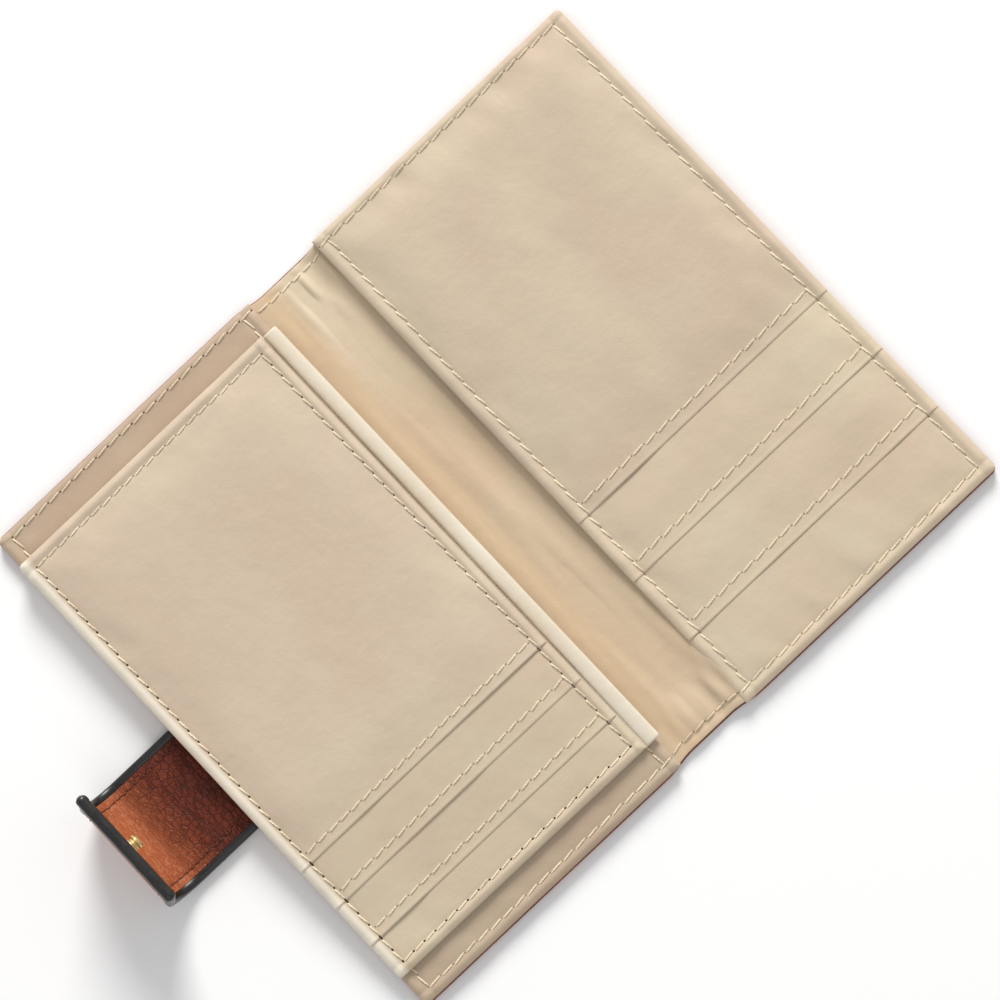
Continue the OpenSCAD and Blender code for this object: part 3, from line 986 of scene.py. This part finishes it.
x0, x1 = FRONT_STACK.seams_x
seam_across("front", "outer", FRONT_STACK, x0, "front_cover", 100)
seam_across("front", "spine", FRONT_STACK, x1, "front_cover", 110)
for word, y, layer, seed in zip(("low", "high"), FRONT_STACK.seams_y, (3, 0), (130, 131)):
    seam("front_seam_" + word, (x0, y), (front_x[1] - 0.6, y), FRONT_STACK.top(layer),
         "front_cover", seed=seed)
slot_seams("front", FRONT_STACK, FRONT_SLOTS, "front_cover", 140)

LEAF_PITCH = {"pitch": 4.45, "length": 4.2}
x0, x1 = LEAF_STACK.seams_x
for place, x, seed, size in (("spine", x0, 200, 0.28), ("outer", x1, 210, 0.36)):
    seam_across("leaf", place, LEAF_STACK, x, "leaf", seed, hole=DARK_HOLE, hole_size=size, **LEAF_PITCH)
low_y, high_y = LEAF_STACK.seams_y
seam("leaf_seam_low", (x0, low_y), (x1, low_y), LEAF_STACK.top(3), "leaf", seed=230, **LEAF_PITCH)
seam("leaf_seam_high", (x0, high_y), (x1, high_y), LEAF_STACK.top(0), "leaf", hole=DARK_HOLE,
     seed=231, hole_size=0.34, **LEAF_PITCH)
slot_seams("leaf", LEAF_STACK, LEAF_SLOTS, "leaf", 240, **LEAF_PITCH)

hem_x, outer_x = BACK_STACK.seams_x
low_y, high_y = BACK_STACK.seams_y
for word, start, end, hole, seed in (
        ("hem", (hem_x, low_y), (hem_x, high_y), HOLE, 300),
        ("outer", (outer_x, low_y), (outer_x, high_y), HOLE, 301),
        ("low", (pocket_x[0] + 0.6, low_y), (outer_x, low_y), DARK_HOLE, 302),
        ("high", (pocket_x[0] + 0.6, high_y), (outer_x, high_y), HOLE, 303)):
    seam("back_seam_" + word, start, end, BACK_STACK.top(0), "back_cover", hole=hole, seed=seed)

for side, x in ((1, pocket_x[0]), (-1, front_x[1])):
    for word, y in (("low", -91.7), ("high", 91.1)):
        for made in stitch_row(f"spine_seam_{WORD[side]}_{word}", (0, y), (x, y), lining_top,
                               THREAD, HOLE, seed=310 + side, place=draw_in):
            over_fold(made, side)


# ---- seams of the leather's outer face

def topstitch(side, name, start, end, seed, **more):
    """A row on the outer face of one cover, with its needle holes."""
    return stitch_row(f"{WORD[side]}_topstitch_{name}", start, end, leather_bottom, RED_THREAD,
                      RED_HOLE, up=-1, seed=seed + side, **more)


def leather_seams():
    """Topstitching round the outer face of the cover leather."""
    y_edge = HALF_LEN - TOPSTITCH
    for side, outer in ((1, BACK_X - TOPSTITCH), (-1, FRONT_X + TOPSTITCH)):
        cut = side * FLAT_FROM
        made = [*topstitch(side, "outer", (outer, -y_edge), (outer, y_edge), 400, radius=0.2)]
        for name, y in (("low", -y_edge), ("high", y_edge)):
            made += topstitch(side, name, (cut, y), (outer, y), 404)
            for piece in topstitch(side, "spine_" + name, (0, y), (cut, y), 408, place=draw_in):
                over_fold(piece, side)
        for piece in made:
            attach(piece, WORD[side] + "_cover")


leather_seams()


# ---- closure tab

STRAP_LOW, STRAP_HIGH = TAB_LOW + BINDING - 0.4, TAB_HIGH - BINDING + 0.4
TAB_ROWS = (TAB_LOW + 5.0, TAB_HIGH - 5.0)
TAB_CREASE = noise_field(81, 1.5, 90, 7.0)
TAB_WAVE = noise_field(83, 8.0, 90, 1.6)


def tucked(x, full, end):
    """A height along the strap that changes to another where it tucks into the seam of the cover."""
    neck = ramp(x, BACK_X - 0.3, BACK_X + 1.6)
    return full * neck + (1 - neck) * end


def row_gap(y):
    """Distance to the nearer row of stitches."""
    return np.minimum(np.abs(y - TAB_ROWS[0]), np.abs(y - TAB_ROWS[1]))


def inner_face(x, y):
    """The face with the stud: sewn lines, and cross creases in the bend."""
    rows = row_gap(y)
    bend = ramp(x, BEND_X - 12, BEND_X) * (1 - ramp(x, ARC_END - 2, ARC_END + 6))
    creases = -0.16 * np.abs(TAB_CREASE(x, y)) * bend + 0.10 * TAB_WAVE(x, y)
    full = TAB_T + 0.05 - 0.24 * bell(rows, 0.7) + creases * ramp(rows, 0.2, 1.5)
    return tucked(x, full, RIM_Z - 0.1)


def outer_face(x, y):
    """The other face: sewn lines, and slight waves."""
    full = 0.02 + 0.22 * bell(row_gap(y), 0.7) + 0.05 * (1 + TAB_WAVE(x, y))
    return tucked(x, full, LEATHER_T + 0.1)


def join_tab(piece, part, slot, *nodes):
    """Bakes a piece of one part of the tab into place and hides its CAD nodes; slot is not used."""
    if part == "riser":
        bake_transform(piece)
    else:
        top = curl(np.array([[ARC_END, 0, TAB_T / 2]]))[0]
        [c * MM for c in top]
        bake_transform(piece)
    if nodes:
        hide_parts(*nodes)


def tab_span(part, start, cut):
    """From where to where along the tab a piece of one part of it runs."""
    return (BACK_X + start, TAB_SPLIT) if part == "riser" else (TAB_SPLIT, TAB_END - cut)


def tab_face(part, face, low, high):
    """The inner or outer leather of one part of the tab, between two heights."""
    x0, x1 = tab_span(part, -0.6, 1.6)
    y0, y1 = STRAP_LOW, STRAP_HIGH
    xs = grid_lines(x0, x1, 0.55, crowd=())
    ys = grid_lines(y0, y1, 0.8, TAB_ROWS, crowd=(0.1, 0.3, 0.6))
    made = sheet_mesh(f"tab_{part}_{face}_face", xs, ys, high, low, TAB_LEATHER, round_sides="",
                      place=curl)
    join_tab(made, part, "leather", f"{part}_{face}_leather")


def rounded_rod(profile_w, profile_h, count=16, power=3.0):
    """Points of a rounded rectangle."""
    angles = np.linspace(0, 2 * math.pi, count, endpoint=False)
    c, s = np.cos(angles), np.sin(angles)
    return (np.sign(c) * np.abs(c) ** (2 / power) * profile_w / 2,
            np.sign(s) * np.abs(s) ** (2 / power) * profile_h / 2)


def swept(name, centres, axis, profile, scales):
    """A rounded bar of binding: a profile swept along x or y, closed at both ends."""
    a, b = profile
    points = []
    for centre, scale in zip(centres, scales):
        for u, w in zip(a * scale, b * scale):
            offset = (0, u, w) if axis == 0 else (u, 0, w)
            points.append([centre[k] + offset[k] for k in range(3)])
    return bar(name, points, len(centres), BINDING_PAINT, curl)


def tab():
    """The closure tab: two faces of leather over a core, bound along its edges."""
    core_low, core_high = 1.05, TAB_T - 1.05
    for part in ("riser", "tip"):
        tab_face(part, "inner", lambda x, y: tucked(x, core_high, 2.0), inner_face)
        tab_face(part, "outer", outer_face, lambda x, y: tucked(x, core_low, 1.6))
        core = sheet_mesh(f"tab_{part}_core", grid_lines(*tab_span(part, 1.6, 2.6), 1.0, crowd=()),
                          grid_lines(STRAP_LOW + 1, STRAP_HIGH - 1, 4.0, crowd=(0.2,)),
                          lambda x, y: np.full_like(x, core_high - 0.05),
                          lambda x, y: np.full_like(x, core_low + 0.05), BOARD, round_sides="", place=curl)
        join_tab(core, part, "board", part + "_core")
        xs = np.linspace(*tab_span(part, 0.2, 1.2), 18 if part == "riser" else 64)
        scales = np.ones(len(xs))
        if part == "riser":
            scales[0] = 0.9
        for word, y in (("low", TAB_LOW + BINDING / 2), ("high", TAB_HIGH - BINDING / 2)):
            rod = swept(f"tab_{part}_binding_{word}", [(x, y, TAB_T / 2) for x in xs], 0,
                        rounded_rod(BINDING, TAB_T + 0.3), scales)
            join_tab(rod, part, "binding", part + "_binding")
        x0, x1 = tab_span(part, 2.0, 3.0)
        for k, y in enumerate(TAB_ROWS):
            for word, face, up in (("inner", inner_face, 1), ("outer", outer_face, -1)):
                for made in stitch_row(f"tab_{part}_{word}_row_{k}", (x0, y), (x1, y), face, RED_THREAD,
                                       RED_HOLE, pitch=2.5, length=1.9, radius=0.2, slant=4, up=up,
                                       seed=500 + k, place=curl, hole_size=0.26):
                    join_tab(made, part, "leather")
    ys = np.linspace(TAB_LOW - 0.5, TAB_HIGH + 0.5, 60)
    centres = [(TAB_END - 1.7, y, TAB_T / 2 - 0.4) for y in ys]
    close = np.minimum(ys - ys[0], ys[-1] - ys)
    scales = 0.35 + 0.65 * rounded(close, 1.6) + 0.02 * np.sin(ys * 0.9)
    end_bar = swept("tab_end_binding", centres, 1, rounded_rod(3.6, 3.7, 20, 2.2), scales)
    join_tab(end_bar, "tip", "binding")


tab()


# ---- CAD pieces that keep their shape

def dress(node, material):
    """Gives a CAD node its finish."""
    mesh = frame["nodes"][node].data
    mesh.materials.clear()
    mesh.materials.append(material)


for node in ("back_board", "front_board"):
    dress(node, BOARD)
for node in ("snap_stud", "snap_stud_plate", "snap_socket", "snap_socket_washer"):
    dress(node, BRASS)
dress("tab_root", ROOT_LEATHER)


# ---- camera, light and floor

def camera():
    """The view of the photograph: from above, turned, and close to straight down."""
    right = (-0.72611, 0.68243, -0.08405)
    up = (-0.68715, -0.72455, 0.05346)
    view = (0.02442, -0.09657, -0.99503)
    data = bpy.data.cameras.new("camera")
    data.sensor_width = 36.0
    data.lens = 156.3
    data.clip_end = 20.0
    made = add_object("camera", data)
    rotation = Matrix((right, up, [-c for c in view])).transposed().to_4x4()
    made.matrix_world = Matrix.Translation(Vector((-0.0322, 0.1251, 1.2875))) @ rotation
    bpy.context.scene.camera = made


def area_light(name, place, size, power, colour=(1, 1, 1)):
    """A soft light that faces the wallet."""
    data = bpy.data.lights.new(name, "AREA")
    data.shape = "DISK"
    data.size, data.energy, data.color = size, power, colour
    made = add_object(name, data)
    made.location = place
    aim = Vector((0.01, 0, 0)) - Vector(place)
    made.rotation_mode = "QUATERNION"
    made.rotation_quaternion = aim.to_track_quat("-Z", "Y")


def studio():
    """A pale floor and sky, one big soft light from the head of the picture, and a faint fill."""
    mesh = bpy.data.meshes.new("floor")
    reach, level = 3.0, -0.0003  # in metres
    corners = [(-reach, -reach), (reach, -reach), (reach, reach), (-reach, reach)]
    mesh.from_pydata([(x, y, level) for x, y in corners], [], [(0, 1, 2, 3)])
    material, shader, _ = new_material("paper", 0.9, Specular_IOR_Level=0.1)
    shader.inputs["Base Color"].default_value = (0.96, 0.96, 0.96, 1)
    shader.inputs["Emission Color"].default_value = (1, 1, 1, 1)
    shader.inputs["Emission Strength"].default_value = 0.025
    mesh.materials.append(material)
    floor = add_object("floor", mesh)
    world = bpy.data.worlds.new("world")
    world.use_nodes = True
    sky = world.node_tree.nodes["Background"]
    sky.inputs["Color"].default_value = (0.98, 0.99, 1.0, 1)
    sky.inputs["Strength"].default_value = 0.5
    bpy.context.scene.world = world
    area_light("key", (-1.77, -2.23, 1.66), 1.4, 110.0, (1.0, 0.985, 0.96))
    area_light("fill", (1.2, 1.2, 2.4), 2.0, 8.0)
    bpy.context.scene.view_settings.view_transform = "Standard"


camera()
studio()
